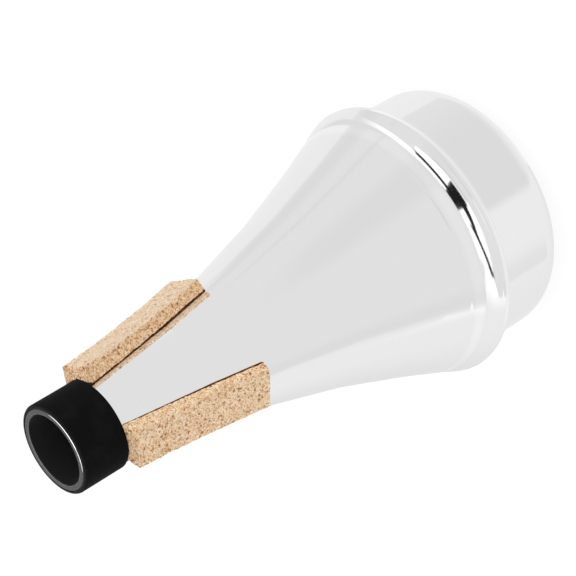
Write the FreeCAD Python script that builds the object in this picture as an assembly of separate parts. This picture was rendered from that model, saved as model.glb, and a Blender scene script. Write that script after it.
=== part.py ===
# Trumpet straight mute: a spun aluminium shell and end cap joined by a rolled seam,
# a rubber collar and a lipped liner on the neck, and three layered cork strips.
# Millimetres. +Z runs up the mute's axis to its mouth, and the origin is the centre
# of the end cap's flat face.

import FreeCAD, Part
import math
import os
from FreeCAD import Vector

os.makedirs("parts", exist_ok=True)

# Shared sizes
sheet = 0.9                     # thickness of the spun aluminium
seat_gap = 0.05                 # clearance between pieces that slide together
cut_edge_round = 0.2            # rounding of a plain cut edge
overrun = 3.0                   # how far a cutting solid runs past what it cuts
same_point = 0.0001             # points closer than this are taken as one

# Mouth liner
mouth_radius = 9.85             # bore of the mouth
liner_length = 15.0
lip_thickness = 1.0             # flat ring that covers the shell's cut edge
mouth_edge_round = 0.3

# Neck and its rubber collar
neck_radius = 11.5              # outside of the shell's straight neck
collar_length = 13.75
collar_wall = 1.0
collar_front_round = 0.9
collar_rear_round = 0.3

# Flare of the shell: two straight tapers blended by a long arc
neck_taper = 8.6                # degrees from the axis, along the corks
bell_taper = 21.6               # degrees from the axis, down to the rim
neck_taper_length = 59.6        # axial, from the collar to the corner of the tapers
taper_blend_radius = 296.0

# Rolled seam at the rim, a bulging band below a groove pressed into the bell taper
rim_radius = 40.1
seam_height = 7.1               # axial, from the seam's underside to the groove's upper edge
seam_depth = 2.47               # radial, from the seam's outside in to that edge
groove_depth = 0.73             # radial, from the edge in to the groove's bottom
groove_drop = 0.3               # axial, from the edge down to the bottom
groove_edge_round = 0.15
groove_round = 0.2
shoulder_drop = 1.4             # axial, from the groove's bottom down to the band's shoulder
shoulder_rise = 1.45            # radial, out to the shoulder
shoulder_round = 8.0
side_height = 1.45              # axial, the seam's upright side above its underside
side_round = 1.4
under_round = 1.1
grip = 0.3                      # how far the shell steps in over the cap's flange
lip_gap = 0.3                   # crevice between the seam's thin lip and the cap's wall

# End cap
cap_height = 26.3               # flat face to the seam's underside
cap_radius = 36.3
cap_edge_round = 7.75
cap_bend_round = 0.9            # inside bend from the wall to the flange

# Cork strips, each a block glued on a base layer that fits the flare
strip_azimuths = [-90.0, 30.0, 150.0]
strip_width = 11.4
strip_length = 40.5             # axial, from the collar down
strip_thickness = 3.46          # square to the neck taper, at the strip's middle
block_setback = 0.35            # the block starts this far below the collar
block_top_bevel = 1.0           # axial lean of the block's upper end
block_bottom_bevel = 0.8
block_edge_round = 0.5
glue_thickness = 0.5
base_lift = 0.6                 # how far the block stands off the shell at its middle
base_lean = 0.62                # sideways offset that makes the base thicker on one side
base_shift = 0.5                # the base shows past the block on its thick side

# Heights and radii that follow
neck_angle = math.radians(neck_taper)
bell_angle = math.radians(bell_taper)
middle_angle = (neck_angle + bell_angle) / 2
half_turn = (bell_angle - neck_angle) / 2
corner_radius = neck_radius + neck_taper_length * math.tan(neck_angle)
edge_radius = rim_radius - seam_depth
edge_height = cap_height + seam_height
corner_height = edge_height + (edge_radius - corner_radius) / math.tan(bell_angle)
neck_end = corner_height + neck_taper_length
mouth_height = neck_end + collar_length
shell_top = mouth_height - lip_thickness
flange_under = cap_height + sheet
flange_top = flange_under + sheet
pocket_radius = rim_radius - sheet
lip_radius = cap_radius + lip_gap


def leg_lengths(points, rounds):
    """Length that each corner's arc takes off its two sides, kept within the sides."""
    count = len(points)
    legs = []
    for i in range(count):
        back = points[i - 1] - points[i]
        ahead = points[(i + 1) % count] - points[i]
        legs.append(rounds[i] / math.tan(back.getAngle(ahead) / 2))
    shares = [1.0] * count
    for i in range(count):
        j = (i + 1) % count
        side = (points[j] - points[i]).Length
        if legs[i] + legs[j] > side:
            share = side / (legs[i] + legs[j])
            shares[i] = min(shares[i], share)
            shares[j] = min(shares[j], share)
    return [leg * share for leg, share in zip(legs, shares)]


def outline(corners):
    """Closed wire in the XZ plane through (radius, height, rounding) corners."""
    points = [Vector(r, 0, z) for r, z, _ in corners]
    legs = leg_lengths(points, [rounding for _, _, rounding in corners])
    count = len(points)
    edges = []
    for i in range(count):
        here = points[i]
        back = (points[i - 1] - here).normalize()
        ahead = (points[(i + 1) % count] - here).normalize()
        if legs[i] > 0:
            half = back.getAngle(ahead) / 2
            inward = (back + ahead).normalize()
            middle = here + inward * legs[i] * (1 - math.sin(half)) / math.cos(half)
            edges.append(Part.Arc(here + back * legs[i], middle, here + ahead * legs[i]).toShape())
        j = (i + 1) % count
        start = here + ahead * legs[i]
        end = points[j] - ahead * legs[j]
        if not start.isEqual(end, same_point):
            edges.append(Part.LineSegment(start, end).toShape())
    return Part.Wire(edges)


def turned(corners):
    """Solid of revolution about Z from an outline of corners."""
    return Part.Face(outline(corners)).revolve(Vector(), Vector(0, 0, 1), 360)


def flare_corners(inset):
    """Corners of the flare's outside, moved in by inset: end of the neck, then the tapers' corner."""
    neck_corner = (neck_radius - inset, neck_end - inset * math.tan(neck_angle / 2), 0)
    reach = inset / math.cos(half_turn)
    taper_corner = (corner_radius - reach * math.cos(middle_angle),
                    corner_height - reach * math.sin(middle_angle),
                    taper_blend_radius + inset)
    return [neck_corner, taper_corner]


def bell_radius(height, inset):
    """Radius of the straight bell taper, moved in by inset, at a height."""
    return corner_radius + (corner_height - height) * math.tan(bell_angle) - inset / math.cos(bell_angle)


def make_shell():
    """Spun shell: neck, flare, groove and the seam rolled under the cap's flange."""
    bottom_radius = edge_radius - groove_depth
    bottom_height = edge_height - groove_drop
    shoulder_radius = bottom_radius + shoulder_rise
    shoulder_height = bottom_height - shoulder_drop
    inner_slope = math.atan(shoulder_rise / shoulder_drop)
    above_groove = edge_height + sheet
    outside = [
        (neck_radius, shell_top, cut_edge_round),
        *flare_corners(0),
        (edge_radius, edge_height, groove_edge_round),
        (bottom_radius, bottom_height, groove_round),
        (shoulder_radius, shoulder_height, shoulder_round),
        (rim_radius, cap_height + side_height, side_round),
        (rim_radius, cap_height, under_round),
        (lip_radius, cap_height, cut_edge_round),
    ]
    inside = [
        (neck_radius - sheet, shell_top, cut_edge_round),
        *flare_corners(sheet),
        (bell_radius(above_groove, sheet), above_groove, sheet),
        (bottom_radius - sheet, bottom_height, sheet),
        (shoulder_radius - sheet * math.cos(inner_slope), shoulder_height - sheet * math.sin(inner_slope), sheet),
        (pocket_radius - grip, flange_top, 0),
        (pocket_radius, flange_top, 0),
        (pocket_radius, flange_under, 0),
        (lip_radius, flange_under, 0),
    ]
    return turned(outside + inside[::-1])


def make_end_cap():
    """Spun cap: flat face, rounded edge, straight wall and the flange held in the seam."""
    flange_radius = pocket_radius - seat_gap
    return turned([
        (0, 0, 0),
        (cap_radius, 0, cap_edge_round),
        (cap_radius, flange_under, 0),
        (flange_radius, flange_under, cut_edge_round),
        (flange_radius, flange_top, cut_edge_round),
        (cap_radius - sheet, flange_top, cap_bend_round),
        (cap_radius - sheet, sheet, cap_edge_round - sheet),
        (0, sheet, 0),
    ])


def make_mouth_liner():
    """Lipped tube inside the neck, whose lip covers the shell's cut edge."""
    tube_radius = neck_radius - sheet - seat_gap
    tube_end = mouth_height - liner_length
    return turned([
        (mouth_radius, mouth_height, mouth_edge_round),
        (neck_radius, mouth_height, cut_edge_round),
        (neck_radius, shell_top, 0),
        (tube_radius, shell_top, 0),
        (tube_radius, tube_end, cut_edge_round),
        (mouth_radius, tube_end, 0),
    ])


def make_neck_collar():
    """Rubber collar stretched over the straight neck, flush with the mouth."""
    outer = neck_radius + collar_wall
    return turned([
        (neck_radius, mouth_height, 0),
        (outer, mouth_height, collar_front_round),
        (outer, neck_end, collar_rear_round),
        (neck_radius, neck_end, 0),
    ])


def flare_core(growth):
    """Solid of the flare's outside along the strips, grown outwards by growth."""
    top = neck_end + overrun
    return turned([
        (0, top, 0),
        (neck_radius + growth, top, 0),
        *flare_corners(-growth),
        (bell_radius(edge_height, -growth), edge_height, 0),
        (0, edge_height, 0),
    ])


def strip_prism(top, bottom, top_bevel, bottom_bevel, outer, side):
    """Bar along +X's side of the flare whose outer face follows the neck taper.

    outer is the face's distance from the flare, side the middle of its width in Y."""
    face_radius = neck_radius + outer / math.cos(neck_angle)
    face_top = top - top_bevel
    face_bottom = bottom + bottom_bevel
    slope = math.tan(neck_angle)
    corners = [
        (0, top),
        (neck_radius, top),
        (face_radius + (neck_end - face_top) * slope, face_top),
        (face_radius + (neck_end - face_bottom) * slope, face_bottom),
        (neck_radius + (neck_end - bottom) * slope, bottom),
        (0, bottom),
    ]
    points = [Vector(r, side - strip_width / 2, z) for r, z in corners]
    face = Part.Face(Part.makePolygon(points + points[:1]))
    return face.extrude(Vector(0, strip_width, 0))


def rounded_block(block):
    """The bar with its outer face's edges and the corners between its ends and sides rounded."""
    edges = [edge for edge in block.Edges if edge.CenterOfMass.x > neck_radius]
    return block.makeFillet(block_edge_round, edges)


def make_strip():
    """One strip's three layers on the +X side: base, glue film and block."""
    seat = Vector(base_lift, -base_lean, 0)
    bottom = neck_end - strip_length
    base_bar = strip_prism(neck_end, bottom, 0, 0, strip_thickness, -base_shift)
    glue_bar = strip_prism(neck_end - block_setback, bottom, 0, 0, strip_thickness, 0)
    block_bar = strip_prism(neck_end - block_setback, bottom, block_top_bevel, block_bottom_bevel,
                            strip_thickness, 0)
    shell_side = flare_core(0)
    glue_under = flare_core(0).translated(seat)
    glue_over = flare_core(glue_thickness).translated(seat)
    base = base_bar.common(glue_under).cut(shell_side)
    glue = glue_bar.common(glue_over).cut(glue_under)
    block = rounded_block(block_bar).cut(glue_over)
    return base, glue, block


def write(name, shape):
    """One STEP file for a piece, with a line that tells its size."""
    solids = len(shape.Solids)
    print("%-14s solids %d  valid %s  volume %.1f mm3" % (name, solids, shape.isValid(), shape.Volume))
    shape.exportStep("parts/" + name + ".step")


write("shell", make_shell())
write("end_cap", make_end_cap())
write("mouth_liner", make_mouth_liner())
write("neck_collar", make_neck_collar())
strip_layers = make_strip()
for number, azimuth in enumerate(strip_azimuths, 1):
    for layer, solid in zip(["base", "glue", "block"], strip_layers):
        placed = solid.rotated(Vector(), Vector(0, 0, 1), azimuth)
        write("cork_%s_%d" % (layer, number), placed)
print("mouth height %.2f mm" % mouth_height)
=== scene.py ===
import math

import bpy
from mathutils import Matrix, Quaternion, Vector


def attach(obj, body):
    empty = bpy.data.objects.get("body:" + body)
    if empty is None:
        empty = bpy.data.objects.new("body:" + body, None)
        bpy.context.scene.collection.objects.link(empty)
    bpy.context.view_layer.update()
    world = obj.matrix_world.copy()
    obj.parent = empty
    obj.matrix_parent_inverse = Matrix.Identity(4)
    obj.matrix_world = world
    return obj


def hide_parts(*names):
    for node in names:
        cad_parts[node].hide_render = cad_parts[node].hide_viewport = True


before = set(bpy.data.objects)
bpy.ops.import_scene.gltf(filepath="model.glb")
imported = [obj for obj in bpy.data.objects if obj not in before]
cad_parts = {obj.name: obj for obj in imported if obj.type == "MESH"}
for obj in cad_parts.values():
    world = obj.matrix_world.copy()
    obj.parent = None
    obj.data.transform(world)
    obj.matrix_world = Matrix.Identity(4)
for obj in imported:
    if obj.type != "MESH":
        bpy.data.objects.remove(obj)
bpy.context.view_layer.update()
mm = 0.001  # sizes below are written in millimetres
drawing = {
    "round": 240,  # steps round the axis
    "degreesPerStep": 6,  # along a profile's arcs
    "loopInset": 0.25,  # a close loop near each corner holds the shading
    "merge": 0.002,  # vertices closer than this become one
    "smoothAngle": 40,
}
print("frame loaded")


# Tools for drawing a profile in the XZ plane and spinning it round the axis

def deselectAll():
    if bpy.context.mode != "OBJECT":
        bpy.ops.object.mode_set(mode="OBJECT")
    bpy.ops.object.select_all(action="DESELECT")


def activate(piece):
    deselectAll()
    piece.select_set(True)
    bpy.context.view_layer.objects.active = piece


def startProfile(name, point):
    deselectAll()
    bpy.ops.mesh.primitive_plane_add(size=mm)
    piece = bpy.context.active_object
    piece.name = piece.data.name = name
    bpy.ops.object.mode_set(mode="EDIT")
    bpy.ops.mesh.select_all(action="SELECT")
    bpy.ops.mesh.merge(type="CENTER")
    bpy.ops.transform.translate(value=(point.x * mm, 0, point.y * mm))
    return piece


def extrudeTo(last, point):  # extrudes the selected vertex from one profile point to the next
    move = (point - last) * mm
    bpy.ops.mesh.extrude_region_move(TRANSFORM_OT_translate={"value": (move.x, 0, move.y)})


def lineTo(here, there):  # a straight run, with a close loop near each end
    length = (there - here).length
    if length < drawing["merge"] / 2:
        return
    near = min(drawing["loopInset"], length / 4)
    stops = [near / length, 1 - near / length, 1] if length > 4 * drawing["loopInset"] else [0.5, 1]
    last = here
    for stop in stops:
        point = here.lerp(there, stop)
        extrudeTo(last, point)
        last = point


def arcRound(centre, turn):  # spins the last vertex about a centre, turn is from X towards Z
    count = max(3, math.ceil(abs(math.degrees(turn)) / drawing["degreesPerStep"]))
    bpy.ops.mesh.spin(steps=count, angle=-turn, center=(centre.x * mm, 0, centre.y * mm), axis=(0, 1, 0))


def drawProfile(name, corners, closed=True):  # corners are (radius, height, rounding)
    points = [Vector((r, z)) for r, z, _ in corners]
    count = len(points)
    starts, ends, arcs = [], [], []
    for i in range(count):
        here, rounding = points[i], corners[i][2]
        back = (points[i - 1] - here).normalized()
        ahead = (points[(i + 1) % count] - here).normalized()
        half = back.angle(ahead) / 2
        leg = rounding / math.tan(half) if rounding else 0
        starts.append(here + back * leg)
        ends.append(here + ahead * leg)
        if not rounding:
            arcs.append(None)
            continue
        centre = here + (back + ahead).normalized() * rounding / math.sin(half)
        side = back.x * ahead.y - back.y * ahead.x
        arcs.append((centre, math.copysign(math.pi - 2 * half, side)))
    piece = startProfile(name, ends[0])
    for i in range(1, count + (1 if closed else 0)):
        i %= count
        lineTo(ends[i - 1], starts[i])
        if arcs[i]:
            arcRound(*arcs[i])
    return piece


def mergeDoubles():
    bpy.ops.mesh.select_all(action="SELECT")
    bpy.ops.mesh.remove_doubles(threshold=drawing["merge"] * mm)
    bpy.ops.mesh.select_all(action="SELECT")


def spinRound(piece):  # turns the drawn profile round the axis into a closed body
    mergeDoubles()
    bpy.ops.mesh.spin(steps=drawing["round"], angle=2 * math.pi, center=(0, 0, 0), axis=(0, 0, 1))
    mergeDoubles()
    bpy.ops.mesh.normals_make_consistent(inside=False)
    bpy.ops.object.mode_set(mode="OBJECT")
    return piece


def finishPiece(piece, node, smoothAngle=drawing["smoothAngle"]):
    bpy.ops.object.shade_smooth_by_angle(angle=math.radians(smoothAngle))
    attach(piece, "root")
    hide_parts(node)
    return piece


# Spun shell: neck, two tapers, and the band rolled into a seam under the end cap's flange

shell = {
    "sheet": 0.9,
    "neckRadius": 11.5,
    "top": 148.98,
    "neckEnd": 136.23,
    "neckTaper": 8.6,  # degrees from the axis
    "bellTaper": 21.6,
    "taperCorner": (20.513, 76.63),
    "taperRound": 296,
    "grooveEdge": (37.63, 33.4),
    "grooveEdgeRound": 0.15,
    "grooveBottom": (36.9, 33.1),
    "grooveRound": 0.2,
    "shoulder": (38.35, 31.7),
    "shoulderRound": 8,
    "side": (40.1, 27.75),
    "sideRound": 1.4,
    "underside": 26.3,
    "undersideRound": 1.1,
    "lip": 36.6,
    "edgeRound": 0.2,
    "pocket": (39.2, 27.2, 28.1),  # radius, and the heights of its floor and its roof
    "grip": 0.3,
}


def insetCorner(s, inset):  # the corner of the two tapers on a surface that lies deeper by inset
    middle = math.radians(s["neckTaper"] + s["bellTaper"]) / 2
    half = math.radians(s["bellTaper"] - s["neckTaper"]) / 2
    reach = inset / math.cos(half)
    r, z = s["taperCorner"]
    return r - reach * math.cos(middle), z - reach * math.sin(middle)


def makeShell(s):
    bell, sheet = math.radians(s["bellTaper"]), s["sheet"]
    cornerRadius, cornerHeight = s["taperCorner"]
    bottomRadius, bottomHeight = s["grooveBottom"]
    shoulderRadius, shoulderHeight = s["shoulder"]
    pocketRadius, pocketFloor, pocketRoof = s["pocket"]
    aboveGroove = s["grooveEdge"][1] + sheet
    innerAbove = cornerRadius + (cornerHeight - aboveGroove) * math.tan(bell) - sheet / math.cos(bell)
    slope = math.atan((shoulderRadius - bottomRadius) / (bottomHeight - shoulderHeight))
    innerNeck = s["neckEnd"] - sheet * math.tan(math.radians(s["neckTaper"]) / 2)
    corners = [
        (s["neckRadius"], s["top"], s["edgeRound"]),
        (s["neckRadius"], s["neckEnd"], 0),
        (*s["taperCorner"], s["taperRound"]),
        (*s["grooveEdge"], s["grooveEdgeRound"]),
        (*s["grooveBottom"], s["grooveRound"]),
        (*s["shoulder"], s["shoulderRound"]),
        (*s["side"], s["sideRound"]),
        (s["side"][0], s["underside"], s["undersideRound"]),
        (s["lip"], s["underside"], s["edgeRound"]),
        (s["lip"], pocketFloor, 0),
        (pocketRadius, pocketFloor, 0),
        (pocketRadius, pocketRoof, 0),
        (pocketRadius - s["grip"], pocketRoof, 0),
        (shoulderRadius - sheet * math.cos(slope), shoulderHeight - sheet * math.sin(slope), sheet),
        (bottomRadius - sheet, bottomHeight, sheet),
        (innerAbove, aboveGroove, sheet),
        (*insetCorner(s, sheet), s["taperRound"] + sheet),
        (s["neckRadius"] - sheet, innerNeck, 0),
        (s["neckRadius"] - sheet, s["top"], s["edgeRound"]),
    ]
    return finishPiece(spinRound(drawProfile("shellSpun", corners)), "shell")


shellPiece = makeShell(shell)
print("shell", len(shellPiece.data.polygons), "faces")


# Spun end cap with the flange that the seam holds

endCap = {
    "sheet": 0.9,
    "radius": 36.3,
    "edgeRound": 7.75,
    "flange": (39.15, 27.2, 28.1),  # radius, and the heights of its underside and its top
    "bendRound": 0.9,
    "cutRound": 0.2,
}


def makeEndCap(s):
    inner = s["radius"] - s["sheet"]
    flangeRadius, flangeUnder, flangeTop = s["flange"]
    corners = [
        (0, 0, 0),
        (s["radius"], 0, s["edgeRound"]),
        (s["radius"], flangeUnder, 0),
        (flangeRadius, flangeUnder, s["cutRound"]),
        (flangeRadius, flangeTop, s["cutRound"]),
        (inner, flangeTop, s["bendRound"]),
        (inner, s["sheet"], s["edgeRound"] - s["sheet"]),
        (0, s["sheet"], 0),
    ]
    return finishPiece(spinRound(drawProfile("endCapSpun", corners, closed=False)), "end_cap")


capPiece = makeEndCap(endCap)
print("end cap", len(capPiece.data.polygons), "faces")


# Lipped liner in the neck, and the rubber collar round it

mouthLiner = {
    "bore": 9.85,
    "lipRadius": 11.5,
    "tubeRadius": 10.55,
    "top": 149.98,
    "lipUnder": 148.98,
    "end": 134.98,
    "boreRound": 0.3,
    "lipRound": 0.4,
    "edgeRound": 0.2,
}
neckCollar = {
    "bore": 11.5,
    "radius": 12.5,
    "top": 149.98,
    "end": 136.23,
    "frontRound": 0.9,
    "rearRound": 0.3,
}


def makeMouthLiner(s):
    corners = [
        (s["bore"], s["top"], s["boreRound"]),
        (s["lipRadius"], s["top"], s["lipRound"]),
        (s["lipRadius"], s["lipUnder"], 0),
        (s["tubeRadius"], s["lipUnder"], 0),
        (s["tubeRadius"], s["end"], s["edgeRound"]),
        (s["bore"], s["end"], 0),
    ]
    return finishPiece(spinRound(drawProfile("mouthLinerSpun", corners)), "mouth_liner")


def makeNeckCollar(s):
    corners = [
        (s["bore"], s["top"], 0),
        (s["radius"], s["top"], s["frontRound"]),
        (s["radius"], s["end"], s["rearRound"]),
        (s["bore"], s["end"], 0),
    ]
    return finishPiece(spinRound(drawProfile("neckCollarSpun", corners)), "neck_collar")


linerPiece = makeMouthLiner(mouthLiner)
collarPiece = makeNeckCollar(neckCollar)
print("mouth liner and collar made")


# Cork strips, each a block glued on a thin base layer that fits the flare

cork = {
    "length": 40.5,
    "core": 5,  # a bar starts this far under the neck's surface
    "overcut": 18,  # its width before the sides are sawn off
    "archRuns": 10,  # straight runs along the hollow outer face
    "baseVoxel": 0.15,
    "blockVoxel": 0.2,
    "bedded": 0.15,  # a base reaches this far into the sheet, so its rounded edge leaves no gap
    "filmSetback": 0.3,
    "rounding": 9,  # rounds of smoothing that take the edges off a block
    "grainSize": 0.8,
    "grainDepth": 0.45,
    "handSize": 9,  # slow unevenness from cutting and sanding by hand
    "handDepth": 0.5,
    "baseShare": 0.35,  # how much of the rounding and unevenness a base layer gets
    "smoothAngle": 60,
}
corkStrips = {  # pairs are at the mouth end and at the bell end, low and high are where the sides run
    "1": {
        "azimuth": -90, "seat": (0.42, -0.35), "crevice": (0.2, 0.7), "thickness": (3.5, 3.5), "crown": -0.55,
        "baseLow": (-6.1, -6.2), "baseHigh": (5.6, 6.1), "blockLow": (-5.8, -5.8), "blockHigh": (5.8, 6.3),
        "filmInset": 0.1, "setback": -0.05, "reach": 0.25, "topBevel": 1.0, "bottomBevel": 1.0,
        "cuts": [(-1, 1, 1.0)],  # side, end and size of each corner that is cut off
    },
    "2": {
        "azimuth": 30, "seat": (0.34, -0.05), "crevice": (0.62, 0.6), "thickness": (4.35, 3.8), "crown": -0.9,
        "baseLow": (-6.2, -8.45), "baseHigh": (5.4, 5.7), "blockLow": (-5.9, -7.1), "blockHigh": (6.0, 6.1),
        "filmInset": 0.3, "setback": -0.1, "reach": 0, "topBevel": 0.9, "bottomBevel": 0.8,
        "cuts": [(-1, 1, 1.1)],
    },
    "3": {
        "azimuth": 150, "seat": (0.5, -0.45), "crevice": (0.4, 0.5), "thickness": (3.6, 3.7), "crown": -0.5,
        "baseLow": (-6.2, -6.5), "baseHigh": (5.4, 5.5), "blockLow": (-5.8, -6.1), "blockHigh": (5.8, 5.9),
        "filmInset": 0.2, "setback": 0.1, "reach": 0.2, "topBevel": 1.0, "bottomBevel": 0.9,
        "cuts": [(1, -1, 0.8)],
    },
}
neckAngle = math.radians(shell["neckTaper"])
neckSlope = math.tan(neckAngle)


def flareBody(name, growth=0, more=0):  # the flare's outside as a solid, grown, and by more at the tapers' corner
    s = shell
    lower, wider = s["grooveEdge"][1], growth + more
    corners = [
        (0, s["top"], 0),
        (s["neckRadius"] + growth, s["top"], 0),
        (s["neckRadius"] + growth, s["neckEnd"] + growth * math.tan(neckAngle / 2), 0),
        (*insetCorner(s, -wider), s["taperRound"] - wider),
        (s["grooveEdge"][0] + wider / math.cos(math.radians(s["bellTaper"])), lower, 0),
        (0, lower, 0),
    ]
    return spinRound(drawProfile(name, corners, closed=False))


def trim(bar, place, outwards):  # saws off all that lies beyond a plane
    bpy.ops.object.mode_set(mode="EDIT")
    bpy.ops.mesh.select_all(action="SELECT")
    bpy.ops.mesh.bisect(
        plane_co=Vector(place) * mm, plane_no=outwards, use_fill=True, clear_outer=True, threshold=0.001 * mm)
    bpy.ops.mesh.select_all(action="SELECT")
    bpy.ops.mesh.normals_make_consistent(inside=False)
    bpy.ops.object.mode_set(mode="OBJECT")


def barOutline(s, strip, setback, topBevel, bottomBevel):  # seen from the side, its outer face along the neck's taper
    neck, neckEnd = shell["neckRadius"], shell["neckEnd"]
    top = neckEnd - setback
    bottom = neckEnd - s["length"] - strip["reach"]
    atMouth, atBell = strip["thickness"]
    points = [(neck - s["core"], top), (neck, top)]
    for i in range(s["archRuns"] + 1):
        t = i / s["archRuns"]
        height = (top - topBevel) * (1 - t) + (bottom + bottomBevel) * t
        thickness = (atMouth * (1 - t) + atBell * t + strip["crown"] * 4 * t * (1 - t)) / math.cos(neckAngle)
        points.append((neck + (neckEnd - height) * neckSlope + thickness, height))
    points += [(neck + (neckEnd - bottom) * neckSlope, bottom), (neck - s["core"], bottom)]
    return [Vector(point) for point in points]


def makeBar(name, s, strip, low, high, setback=0, topBevel=0, bottomBevel=0, inset=0):
    points = barOutline(s, strip, setback, topBevel, bottomBevel)
    bar = startProfile(name, points[0])
    for last, point in zip(points, points[1:] + points[:1]):
        extrudeTo(last, point)
    mergeDoubles()
    bpy.ops.mesh.edge_face_add()
    bpy.ops.transform.translate(value=(0, -s["overcut"] / 2 * mm, 0))
    bpy.ops.mesh.extrude_region_move(TRANSFORM_OT_translate={"value": (0, s["overcut"] * mm, 0)})
    bpy.ops.object.mode_set(mode="OBJECT")
    for side, (atMouth, atBell) in [(-1, low), (1, high)]:
        place = (0, atMouth - side * inset, shell["neckEnd"])
        trim(bar, place, (0, side, side * (atBell - atMouth) / s["length"]))
    return bar


def cutCorner(bar, s, strip, side, end, size):
    atMouth, atBell = strip["blockLow"] if side < 0 else strip["blockHigh"]
    edge, height = (atMouth, shell["neckEnd"]) if end > 0 else (atBell, shell["neckEnd"] - s["length"])
    trim(bar, (0, edge - side * size, height), (0, side, end))


def applyStep(piece, kind, **settings):
    activate(piece)
    step = piece.modifiers.new(kind.lower(), kind)
    for name, value in settings.items():
        setattr(step, name, value)
    bpy.ops.object.modifier_apply(modifier=step.name)


def applyBoolean(piece, operation, cutter):
    applyStep(piece, "BOOLEAN", object=cutter, operation=operation, solver="EXACT")


def remesh(piece, voxel):
    piece.data.remesh_voxel_size = voxel * mm
    bpy.ops.object.voxel_remesh()


def reliefTexture(name, size):
    texture = bpy.data.textures.new(name, type="CLOUDS")
    texture.noise_scale = size * mm
    return texture


def placeStrip(piece, azimuth):
    activate(piece)
    piece.rotation_euler.z = math.radians(azimuth)
    bpy.ops.object.transform_apply(location=True, rotation=True, scale=True)


def roughen(piece, s, share, reliefs):  # rounds the edges and gives the faces their unevenness
    applyStep(piece, "SMOOTH", factor=0.5, iterations=round(s["rounding"] * share))
    for relief, depth in zip(reliefs, (s["handDepth"], s["grainDepth"])):
        applyStep(piece, "DISPLACE", texture=relief, texture_coords="LOCAL", strength=depth * share * mm)


def makeStrip(number, strip, s, flare, baseTop, reliefs):
    outwards, sideways = strip["seat"]
    atMouth, atBell = strip["crevice"]
    cornerShare = (shell["neckEnd"] - shell["taperCorner"][1]) / s["length"]
    blockUnder = flareBody("blockUnderCutter", atMouth, (atBell - atMouth) * cornerShare)
    baseTop.location = blockUnder.location = (outwards * mm, sideways * mm, 0)

    base = makeBar("corkBase" + number, s, strip, strip["baseLow"], strip["baseHigh"])
    applyBoolean(base, "INTERSECT", baseTop)
    applyBoolean(base, "DIFFERENCE", flare)
    remesh(base, s["baseVoxel"])

    sides = strip["blockLow"], strip["blockHigh"]
    film = makeBar("corkGlue" + number, s, strip, *sides, setback=s["filmSetback"], inset=strip["filmInset"])
    applyBoolean(film, "INTERSECT", blockUnder)
    applyBoolean(film, "DIFFERENCE", baseTop)

    ends = strip["setback"], strip["topBevel"], strip["bottomBevel"]
    block = makeBar("corkBlock" + number, s, strip, *sides, *ends)
    for cut in strip["cuts"]:
        cutCorner(block, s, strip, *cut)
    applyBoolean(block, "DIFFERENCE", blockUnder)
    bpy.data.objects.remove(blockUnder)
    remesh(block, s["blockVoxel"])

    parts = [(base, "base", "cork", s["baseShare"]), (film, "glue", "glue", 0), (block, "block", "cork", 1)]
    for piece, part, slot, share in parts:
        placeStrip(piece, strip["azimuth"])
        if share:
            roughen(piece, s, share, reliefs)
        finishPiece(piece, "cork_" + part + "_" + number, s["smoothAngle"])
    print("cork strip", number, [len(piece.data.polygons) for piece in (base, film, block)], "faces")
    return base, film, block


def makeCorkStrips(s, strips):
    flare, baseTop = flareBody("flareCutter", -s["bedded"]), flareBody("baseTopCutter")
    reliefs = reliefTexture("handCutRelief", s["handSize"]), reliefTexture("corkGrainRelief", s["grainSize"])
    made = {number: makeStrip(number, strip, s, flare, baseTop, reliefs) for number, strip in strips.items()}
    bpy.data.objects.remove(flare)
    bpy.data.objects.remove(baseTop)
    return made


corkPieces = makeCorkStrips(cork, corkStrips)


# Small helpers for shader nodes

def addNode(tree, kind, sockets=None, **settings):  # sockets take a number, a colour or another node's output
    node = tree.nodes.new("ShaderNode" + kind)
    for name, value in settings.items():
        setattr(node, name, value)
    for socket, value in (sockets or {}).items():
        if isinstance(value, bpy.types.NodeSocket):
            tree.links.new(value, node.inputs[socket])
        else:
            node.inputs[socket].default_value = value
    return node


def calc(tree, operation, *values):
    return addNode(tree, "Math", dict(enumerate(values)), operation=operation).outputs[0]


def times(tree, first, *others):
    for other in others:
        first = calc(tree, "MULTIPLY", first, other)
    return first


def ramp(tree, value, low, high, start=0.0, end=1.0):  # eases from start to end as value goes from low to high
    sockets = {"Value": value, "From Min": low, "From Max": high, "To Min": start, "To Max": end}
    return addNode(tree, "MapRange", sockets, interpolation_type="SMOOTHSTEP").outputs[0]


def blendValue(tree, amount, first, second):
    sockets = {0: amount, 2: first, 3: second}
    return addNode(tree, "Mix", sockets, data_type="FLOAT").outputs[0]


def blendColor(tree, amount, first, second):  # a colour is another node's output or red, green and blue
    first, second = [(*color, 1) if isinstance(color, tuple) else color for color in (first, second)]
    sockets = {0: amount, 6: first, 7: second}
    return addNode(tree, "Mix", sockets, data_type="RGBA", blend_type="MIX").outputs[2]


def noise(tree, place, scale, detail, roughness=0.5):
    sockets = {"Vector": place, "Scale": scale, "Detail": detail, "Roughness": roughness}
    return addNode(tree, "TexNoise", sockets).outputs[0]


def bump(tree, strength, distance, height):
    return addNode(tree, "Bump", {"Strength": strength, "Distance": distance, "Height": height}).outputs[0]


def scaled(tree, place, factors):
    return addNode(tree, "VectorMath", {0: place, 1: factors}, operation="MULTIPLY").outputs[0]


def distanceFromAxis(tree, axes):
    flat = addNode(tree, "CombineXYZ", {0: axes.outputs[0], 1: axes.outputs[1]}).outputs[0]
    return addNode(tree, "VectorMath", {0: flat}, operation="LENGTH").outputs["Value"]


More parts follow.
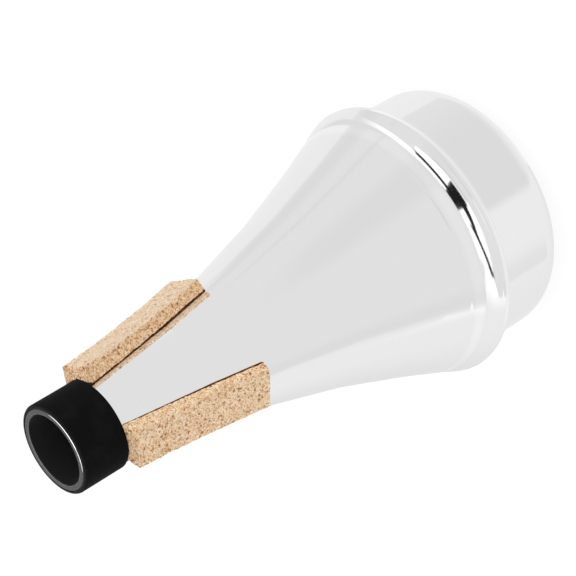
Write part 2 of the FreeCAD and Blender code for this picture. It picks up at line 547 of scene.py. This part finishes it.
def newMaterial(name, color, roughness, metallic=0.0, specular=0.5):
    material = bpy.data.materials.new(name)
    material.use_nodes = True
    shader = material.node_tree.nodes["Principled BSDF"]
    shader.inputs["Base Color"].default_value = (*color, 1)
    shader.inputs["Roughness"].default_value = roughness
    shader.inputs["Metallic"].default_value = metallic
    shader.inputs["Specular IOR Level"].default_value = specular
    return material, material.node_tree, shader


def dress(piece, material):
    piece.data.materials.clear()
    piece.data.materials.append(material)


# Polished aluminium with faint spinning lines, wiping haze and hairline scratches

polish = {
    "color": (0.9, 0.9, 0.9),
    "dull": (0.8, 0.8, 0.8),
    "lighterRing": (0.945, 0.945, 0.945),  # the metal is lighter in a ring just above the groove
    "ring": (33.3, 34.5, 35.5, 37.2),  # heights where it starts, is full, stays full and ends
    "roughness": 0.07,
    "ringRoughness": 0.05,
    "hazeRoughness": 0.03,
    "scratchRoughness": 0.12,
    "fineLines": 3200,  # per metre, as the scales below
    "coarseLines": 420,
    "coarseShare": 4,
    "patches": 38,
    "haze": 17,
    "hazeTint": 0.04,
    "scratches": 260,
    "scratchStretch": 0.12,  # below 1 draws the scratches out along the axis
    "waves": 30,
    "lineDepth": 0.00000012,
    "waveDepth": 0.000012,
    "toolMarks": [(37.4, 1.0, 2.9), (28.95, 0.35, 2.4), (28.05, 0.45, -13)],  # height, width and tilt in degrees
}


def makeAluminium(s):
    material, tree, shader = newMaterial("spunAluminium", s["color"], s["roughness"], metallic=1)
    place = addNode(tree, "TexCoord").outputs["Object"]
    axes = addNode(tree, "SeparateXYZ", {0: place})
    height = axes.outputs[2]
    inwards = calc(tree, "MULTIPLY", distanceFromAxis(tree, axes), 0.7)
    along = calc(tree, "SUBTRACT", height, inwards)  # runs down the wall and in over the end
    fineSockets = {"W": along, "Scale": s["fineLines"], "Detail": 2}
    coarseSockets = {"W": along, "Scale": s["coarseLines"], "Detail": 1}
    fine = addNode(tree, "TexNoise", fineSockets, noise_dimensions="1D").outputs[0]
    coarse = addNode(tree, "TexNoise", coarseSockets, noise_dimensions="1D").outputs[0]
    patches = noise(tree, place, s["patches"], 3)
    rings = times(tree, ramp(tree, fine, 0.45, 0.75), ramp(tree, patches, 0.35, 0.7))
    haze = ramp(tree, noise(tree, place, s["haze"], 5, 0.6), 0.4, 0.75)
    cellSockets = {"Vector": scaled(tree, place, (1, 1, s["scratchStretch"])), "Scale": s["scratches"]}
    cells = addNode(tree, "TexVoronoi", cellSockets, feature="DISTANCE_TO_EDGE").outputs[0]
    scratches = times(tree, ramp(tree, cells, 0.0, 0.012, 1.0, 0.0), ramp(tree, patches, 0.55, 0.68))

    rough = calc(tree, "MULTIPLY_ADD", rings, s["ringRoughness"], s["roughness"])
    rough = calc(tree, "MULTIPLY_ADD", haze, s["hazeRoughness"], rough)
    rough = calc(tree, "MULTIPLY_ADD", scratches, s["scratchRoughness"], rough)
    tree.links.new(rough, shader.inputs["Roughness"])

    slow = bump(tree, 1, s["waveDepth"], noise(tree, place, s["waves"], 1))
    lines = calc(tree, "ADD", fine, calc(tree, "MULTIPLY", coarse, s["coarseShare"]))
    lineSockets = {"Strength": 1, "Distance": s["lineDepth"], "Height": lines, "Normal": slow}
    turned = addNode(tree, "Bump", lineSockets).outputs[0]
    for middle, width, tilt in s["toolMarks"]:  # each a soft step, 1.5 times as steep at its middle
        depth = abs(width * mm * math.tan(math.radians(tilt)) / 1.5)
        step = ramp(tree, height, (middle - width / 2) * mm, (middle + width / 2) * mm, 1.0, 0.0)
        stepSockets = {"Strength": 1, "Distance": depth, "Height": step, "Normal": turned}
        turned = addNode(tree, "Bump", stepSockets, invert=tilt < 0).outputs[0]
    tree.links.new(turned, shader.inputs["Normal"])

    starts, full, stays, ends = [edge * mm for edge in s["ring"]]
    ring = times(tree, ramp(tree, height, starts, full), ramp(tree, height, stays, ends, 1.0, 0.0))
    clean = blendColor(tree, calc(tree, "MULTIPLY", haze, s["hazeTint"]), s["color"], s["dull"])
    tree.links.new(blendColor(tree, ring, clean, s["lighterRing"]), shader.inputs["Base Color"])
    return material


# Black liner and rubber

gloss = {  # polished on the lip, dull down the bore
    "lip": {"color": (0.006, 0.006, 0.006), "roughness": 0.1, "specular": 1.0},
    "bore": {"color": (0.0135, 0.0135, 0.0135), "roughness": 0.55, "specular": 0.25},
    "boreEdge": 0.3,  # the bore's finish takes in its rounded edge, this far out
    "scuffs": 900,
    "scuffDepth": 0.000004,
}
rubberCoat = {
    "color": (0.0045, 0.0045, 0.0044),
    "dusty": (0.008, 0.008, 0.0078),
    "roughness": 0.72,
    "grain": 2600,
    "grainDepth": 0.00004,
    "dust": 170,
}


def makeBlackGloss(name, s, color, roughness, specular):
    material, tree, shader = newMaterial(name, color, roughness, specular=specular)
    scuffs = noise(tree, addNode(tree, "TexCoord").outputs["Object"], s["scuffs"], 4)
    rough = calc(tree, "MULTIPLY_ADD", ramp(tree, scuffs, 0.5, 0.75), 0.08, roughness)
    tree.links.new(rough, shader.inputs["Roughness"])
    tree.links.new(bump(tree, 0.3, s["scuffDepth"], scuffs), shader.inputs["Normal"])
    return material


def dressLiner(piece, s):
    dress(piece, makeBlackGloss("linerLip", s, **s["lip"]))
    piece.data.materials.append(makeBlackGloss("linerBore", s, **s["bore"]))
    edge = (mouthLiner["bore"] + s["boreEdge"]) * mm
    for face in piece.data.polygons:
        face.material_index = int(face.center.xy.length < edge)


def makeRubber(s):
    material, tree, shader = newMaterial("blackRubber", s["color"], s["roughness"], specular=0.03)
    place = addNode(tree, "TexCoord").outputs["Object"]
    grain = noise(tree, place, s["grain"], 3)
    dust = ramp(tree, noise(tree, place, s["dust"], 6, 0.65), 0.45, 0.75)
    tree.links.new(blendColor(tree, dust, s["color"], s["dusty"]), shader.inputs["Base Color"])
    tree.links.new(calc(tree, "MULTIPLY_ADD", grain, 0.2, s["roughness"] - 0.1), shader.inputs["Roughness"])
    tree.links.new(bump(tree, 0.6, s["grainDepth"], grain), shader.inputs["Normal"])
    return material


# Pressed cork: glued granules with brown bark specks, paler where the outer face is sanded and where painted light
# falls on it, browner on the sawn sides with painted shade

corkGrain = {
    "pale": (0.97, 0.80, 0.58),
    "tan": (0.90, 0.63, 0.37),
    "brown": (0.52, 0.225, 0.07),
    "bark": (0.33, 0.10, 0.024),
    # pale grey tan of the sanded outer face, made paler still to paint the key light falling on it
    "sandedAndLit": (0.71, 0.61, 0.49),
    "granules": 1150,  # per metre, as the scales below
    "specks": 850,
    "fibres": 2100,
    "patches": 240,
    "wander": 1500,
    "wanderReach": 0.0007,
    "depth": 0.00017,
}
corkFinishAndPaintedLight = {  # how far the outer face is paled, by real sanding and by painted light, how brown its sawn sides are, partly with painted shade, and a shift for its own grain
    "1": (0.1, 0.03, 0.013),
    "2": (0.6, 0.2, 0.131),
    "3": (0.3, 0.1, 0.257),
}


def makeCork(name, s, sandedAndLit, sawnAndShaded, shift):
    material, tree, shader = newMaterial(name, s["tan"], 0.9, specular=0.1)
    coords = addNode(tree, "TexCoord").outputs
    place = addNode(tree, "VectorMath", {0: coords["Object"], 1: (shift, 0, 0)}, operation="ADD").outputs[0]
    wander = addNode(tree, "TexNoise", {"Vector": place, "Scale": s["wander"], "Detail": 2}).outputs["Color"]
    reach = (s["wanderReach"],) * 3
    bent = addNode(tree, "VectorMath", {0: wander, 1: reach, 2: place}, operation="MULTIPLY_ADD").outputs[0]
    cells = {"Vector": bent, "Scale": s["granules"]}
    granules = addNode(tree, "TexVoronoi", cells).outputs
    edges = addNode(tree, "TexVoronoi", cells, feature="DISTANCE_TO_EDGE").outputs[0]
    spots = addNode(tree, "TexVoronoi", {"Vector": bent, "Scale": s["specks"]}).outputs
    fibres = noise(tree, place, s["fibres"], 4, 0.6)
    patches = noise(tree, place, s["patches"], 3)
    kind = addNode(tree, "SeparateXYZ", {0: granules["Color"]}).outputs
    chance = addNode(tree, "SeparateXYZ", {0: spots["Color"]}).outputs

    body = blendColor(tree, ramp(tree, kind[0], 0.1, 0.9), s["tan"], s["pale"])
    body = blendColor(tree, times(tree, ramp(tree, kind[1], 0.7, 0.95), 0.3), body, s["brown"])
    body = blendColor(tree, times(tree, ramp(tree, fibres, 0.38, 0.47, 1.0, 0.0), 0.8), body, s["pale"])
    cracks = times(tree, ramp(tree, edges, 0.0, 0.08, 1.0, 0.0), ramp(tree, kind[2], 0.4, 0.8), 0.5)
    body = blendColor(tree, cracks, body, s["brown"])

    outwards = scaled(tree, coords["Object"], (1, 1, 0))
    outwards = addNode(tree, "VectorMath", {0: outwards}, operation="NORMALIZE").outputs[0]
    facingSockets = {0: outwards, 1: coords["Normal"]}
    facing = addNode(tree, "VectorMath", facingSockets, operation="DOT_PRODUCT").outputs["Value"]
    # painted light: the outer face turns paler and greyer the more it faces outwards, partly real sanding
    rubbedAndLit = times(tree, ramp(tree, facing, 0.5, 0.85), sandedAndLit)
    body = blendColor(tree, rubbedAndLit, body, s["sandedAndLit"])
    # painted shade: the sawn sides turn browner, most on the strip whose sides the light misses
    body = blendColor(tree, ramp(tree, facing, 0.3, 0.8, sawnAndShaded, 0.0), body, s["brown"])

    strength = calc(tree, "MULTIPLY_ADD", rubbedAndLit, -0.5, 1)  # sanding and the painted light wear the dark marks off
    dark = times(tree, ramp(tree, fibres, 0.52, 0.59), 0.9, strength)
    body = blendColor(tree, dark, body, s["brown"])
    bark = times(tree, ramp(tree, spots["Distance"], 0.2, 0.42, 1.0, 0.0), ramp(tree, chance[0], 0.5, 0.7))
    body = blendColor(tree, times(tree, bark, 0.85, strength), body, s["bark"])
    body = blendColor(tree, times(tree, ramp(tree, patches, 0.5, 0.75), 0.12), body, s["brown"])
    tree.links.new(body, shader.inputs["Base Color"])

    height = calc(tree, "MULTIPLY_ADD", ramp(tree, edges, 0.0, 0.2), 0.6, times(tree, fibres, -1.6))
    tree.links.new(bump(tree, 0.7, s["depth"], height), shader.inputs["Normal"])
    tree.links.new(calc(tree, "MULTIPLY_ADD", fibres, 0.2, 0.78), shader.inputs["Roughness"])
    return material


# Dried glue in the crevice between a block and its base, coloured darker than the glue to paint the crevice's shade
# as well

glueFilm = {
    # near black brown: partly the glue's own colour, partly painted shade of the crevice
    "dark": (0.055, 0.017, 0.006),
    "light": (0.17, 0.06, 0.022),
    "roughness": 0.75,
    "lumps": 1500,
    "lumpDepth": 0.00008,
}


def makeGlue(s):
    material, tree, shader = newMaterial("driedGlueWithPaintedShade", s["dark"], s["roughness"], specular=0.03)
    lumps = noise(tree, addNode(tree, "TexCoord").outputs["Object"], s["lumps"], 4)
    color = blendColor(tree, ramp(tree, lumps, 0.4, 0.7), s["dark"], s["light"])
    tree.links.new(color, shader.inputs["Base Color"])
    tree.links.new(bump(tree, 0.5, s["lumpDepth"], lumps), shader.inputs["Normal"])
    tree.links.new(calc(tree, "MULTIPLY_ADD", lumps, 0.2, s["roughness"]), shader.inputs["Roughness"])
    return material


def dressAll():
    aluminium, glue = makeAluminium(polish), makeGlue(glueFilm)
    dress(shellPiece, aluminium)
    dress(capPiece, aluminium)
    dressLiner(linerPiece, gloss)
    dress(collarPiece, makeRubber(rubberCoat))
    for number, (base, film, block) in corkPieces.items():
        corkMaterial = makeCork("corkStrip" + number, corkGrain, *corkFinishAndPaintedLight[number])
        dress(base, corkMaterial)
        dress(block, corkMaterial)
        dress(film, glue)
        film.visible_glossy = block.visible_glossy = False  # the metal beside a strip mirrors its base alone


dressAll()
print("materials made")


# Camera at the photograph's viewing angle

view = {
    "place": (0.4952, 0.00487, 0.38245),  # towards the camera, to its left, and up, in metres
    "azimuth": -45.5,  # degrees, the side of the mute that faces the camera
    "elevation": 32.5136,
    "roll": -120.754,
    "lens": 137.6,
    "sensor": 36,
    "clip": (0.01, 20),
}


def makeCamera(v):
    side, tilt = math.radians(v["azimuth"]), math.radians(v["elevation"])
    towards = Vector((math.cos(side), math.sin(side), 0))
    left = Vector((-towards.y, towards.x, 0))
    up = Vector((0, 0, 1))
    forward, sideways, height = v["place"]
    back = towards * math.cos(tilt) + up * math.sin(tilt)
    turn = back.to_track_quat("Z", "Y") @ Quaternion((0, 0, 1), math.radians(v["roll"]))
    deselectAll()
    bpy.ops.object.camera_add(location=towards * forward + left * sideways + up * height, rotation=turn.to_euler())
    camera = bpy.context.active_object
    camera.name = "photoCamera"
    camera.data.lens = v["lens"]
    camera.data.sensor_width = v["sensor"]
    camera.data.clip_start, camera.data.clip_end = v["clip"]
    bpy.context.scene.camera = camera


makeCamera(view)
print("camera placed")


# Floor, lamp and the tent of pale cards that the metal mirrors

floor = {"size": 6.0, "drop": 0.05, "color": (0.9, 0.9, 0.9), "glow": 1.06, "shadowShare": 0.2}
lamp = {"azimuth": 42.5, "elevation": 34, "distance": 1.5, "size": 1.3, "power": 4.7}
tent = {  # shades are of light, before the metal's own colour
    "ambient": 0.95,  # what all but mirrored rays get, evenly
    "walls": {"shade": 0.915, "fade": ("side", 100, 165, 0.8)},
    "card": {"edgeLean": 43.5, "middle": -13},  # its upper edge leans back, seen against the ceiling
    "slant": 0.33,
    "overheadTilt": 0.1,
}
white, black, overhead = 1.25, 0.01, 22
tentPatches = [
    # one over another: a shade, and its limits in degrees as (starts, full), (from, to, softness) or all four;
    # side is 0 at the camera and grows to the right round the mute, rise is up, and fade leads to another shade
    {"shade": 0.97, "side": (-158, -176)},
    {"shade": 0.83, "side": (-115, 77, 0.8)},  # the card
    {"shade": 0.785, "side": (-52, -22, 9), "rise": (-4, 9, 4)},  # darker marks on it
    {"shade": 0.785, "side": (-112, -98, 5)},
    {"shade": 0.795, "side": (64, 77, 6)},
    {"shade": 0.785, "side": (-83.5, -80, 1.5), "rise": (-12, 1, 2)},
    {"shade": 0.72, "side": (-42, 12, 5), "rise": (11, 16, 0.7)},
    {"shade": 1.04, "fade": ("side", -100, -40, 0.98), "side": (-112, 106, 3), "rise": (-35, -17, 1.5)},  # floor
    {"shade": 0.93, "fade": ("side", 60, 150, 0.86), "side": (-150, -130), "rise": (-34.5, -35.5)},
    {"shade": 0.91, "fade": ("rise", -80, -36, {"shade": 0.84, "fade": ("side", -104, -50, 0.785)}),
     "side": (-107, -105, 11, 21), "rise": (-34.5, -35.5)},
    {"shade": 0.84, "side": (58, 82, 86, 87.5), "rise": (-44, -39, -35.5, -34.5)},
    {"shade": white, "side": (-116, -78, 66, 90), "overEdge": (-0.5, 0.5)},  # ceiling above the card's edge
    {"shade": white, "side": (-58, 0, 1), "rise": (16.5, 18)},  # window in the card
    {"shade": white, "side": (0, 61, 1), "rise": (13, 14.5)},
    {"shade": 0.8, "side": (-50, -60), "rise": (-5, 60, 5), "overEdge": (9, 13)},
    {"shade": 0.82, "side": (52, 110, 6), "rise": (36, 42)},
    {"shade": black, "side": (-59, -18, 1.5), "overEdge": (-3.4, 3.4, 0.6)},  # gap between card and ceiling
    {"shade": black, "side": (18, 60, 1.5), "overEdge": (-3.4, 3.4, 0.6)},
    {"shade": black, "side": (-20.3, 2.5, 0.7), "rise": (18, 19.6)},  # opening that the picture is taken through
    {"shade": black, "side": (0, 32, 2), "rise": (31, 37.5, 1)},
    {"shade": black, "side": (0, 24, 2), "rise": (38, 36), "slanted": (22, 32, 1)},
    {"shade": 0.7, "aside": (150, 165), "rise": (16, 22)},  # behind the mute, seen in the liner's lip
]
tentPatches += [  # narrow lamps overhead, which only steep edges mirror
    {"shade": 0.4 * overhead, "fade": ("leftwards", -0.75, 0.1, overhead), "leftwards": limits, "overhead": (61, 65)}
    for limits in [(0.2, 0.18), (0.31, 0.5, 0.01), (0.62, 0.74, 0.01)]
]


def makeFloor(f):
    deselectAll()
    bpy.ops.mesh.primitive_plane_add(size=f["size"], location=(0, 0, -f["drop"] * mm))
    piece = bpy.context.active_object
    piece.name = "studioFloor"
    material = bpy.data.materials.new("paleFloor")
    material.use_nodes = True
    tree = material.node_tree
    tree.nodes.clear()
    path = addNode(tree, "LightPath").outputs
    matte = addNode(tree, "BsdfDiffuse", {"Color": (*f["color"], 1)}).outputs[0]
    glow = addNode(tree, "Emission", {"Strength": f["glow"]}).outputs[0]
    seen = addNode(tree, "MixShader", {0: f["shadowShare"], 1: glow, 2: matte}).outputs[0]
    shown = addNode(tree, "MixShader", {0: path["Is Camera Ray"], 1: matte, 2: seen}).outputs[0]
    addNode(tree, "OutputMaterial", {"Surface": shown})
    piece.data.materials.append(material)
    piece.visible_glossy = False  # mirrored rays go on to the tent's own floor


def makeLamp(l):
    side, up = math.radians(l["azimuth"]), math.radians(l["elevation"])
    towards = Vector((math.cos(side) * math.cos(up), math.sin(side) * math.cos(up), math.sin(up)))
    deselectAll()
    turn = towards.to_track_quat("Z", "Y").to_euler()
    bpy.ops.object.light_add(type="AREA", location=towards * l["distance"], rotation=turn)
    softbox = bpy.context.active_object
    softbox.name = "softbox"
    softbox.data.size = l["size"]
    softbox.data.energy = l["power"]
    softbox.visible_glossy = False
    softbox.visible_camera = False


def tentDirections(tree, t):  # where a mirrored ray goes, measured in the ways that the patches use
    direction = addNode(tree, "TexCoord").outputs["Generated"]
    turnSockets = {"Vector": direction, "Angle": -math.radians(view["azimuth"])}
    turned = addNode(tree, "VectorRotate", turnSockets, rotation_type="Z_AXIS").outputs[0]
    axes = addNode(tree, "SeparateXYZ", {0: turned}).outputs
    leftwards = calc(tree, "MULTIPLY", axes[1], -1)
    side = calc(tree, "DEGREES", calc(tree, "ARCTAN2", leftwards, axes[0]))
    rise = calc(tree, "DEGREES", calc(tree, "ARCSINE", axes[2]))
    aside = calc(tree, "ABSOLUTE", side)
    lean, middle = math.radians(t["card"]["edgeLean"]), math.radians(t["card"]["middle"])
    edgeNormal = (-math.sin(lean) * math.cos(middle), math.sin(lean) * math.sin(middle), math.cos(lean))
    edgeSockets = {0: turned, 1: edgeNormal}
    edgeSine = addNode(tree, "VectorMath", edgeSockets, operation="DOT_PRODUCT").outputs["Value"]
    return {
        "side": side,
        "rise": rise,
        "aside": aside,
        "leftwards": leftwards,
        "overEdge": calc(tree, "DEGREES", calc(tree, "ARCSINE", edgeSine)),
        "slanted": calc(tree, "SUBTRACT", rise, calc(tree, "MULTIPLY", side, t["slant"])),
        "overhead": calc(tree, "MULTIPLY_ADD", aside, t["overheadTilt"], rise),
    }


def patchShade(tree, ways, patch):
    if not isinstance(patch, dict):
        return patch
    if "fade" not in patch:
        return patch["shade"]
    way, low, high, other = patch["fade"]
    return ramp(tree, ways[way], low, high, patch["shade"], patchShade(tree, ways, other))


def patchCover(tree, ways, patch):
    masks = []
    for way in [way for way in ways if way in patch]:
        limits = patch[way]
        if len(limits) == 3:
            low, high, soft = limits
            limits = (low - soft, low + soft, high - soft, high + soft)
        masks.append(ramp(tree, ways[way], *limits[:2]))
        if len(limits) == 4:
            masks.append(ramp(tree, ways[way], *limits[2:], 1.0, 0.0))
    return times(tree, *masks)


def makeTent(t, patches):
    world = bpy.data.worlds.new("cardTent")
    bpy.context.scene.world = world
    world.use_nodes = True
    tree = world.node_tree
    tree.nodes.clear()
    ways = tentDirections(tree, t)
    shade = patchShade(tree, ways, t["walls"])
    for patch in patches:
        shade = blendValue(tree, patchCover(tree, ways, patch), shade, patchShade(tree, ways, patch))

    def background(strength):
        return addNode(tree, "Background", {"Color": (1, 1, 1, 1), "Strength": strength}).outputs[0]

    path = addNode(tree, "LightPath").outputs
    lightSockets = {0: path["Is Glossy Ray"], 1: background(t["ambient"]), 2: background(shade)}
    light = addNode(tree, "MixShader", lightSockets).outputs[0]
    seen = addNode(tree, "MixShader", {0: path["Is Camera Ray"], 1: light, 2: background(1)}).outputs[0]
    addNode(tree, "OutputWorld", {"Surface": seen})


makeFloor(floor)
makeLamp(lamp)
makeTent(tent, tentPatches)
settings = bpy.context.scene.view_settings
settings.view_transform = "Standard"
print("floor and light made")
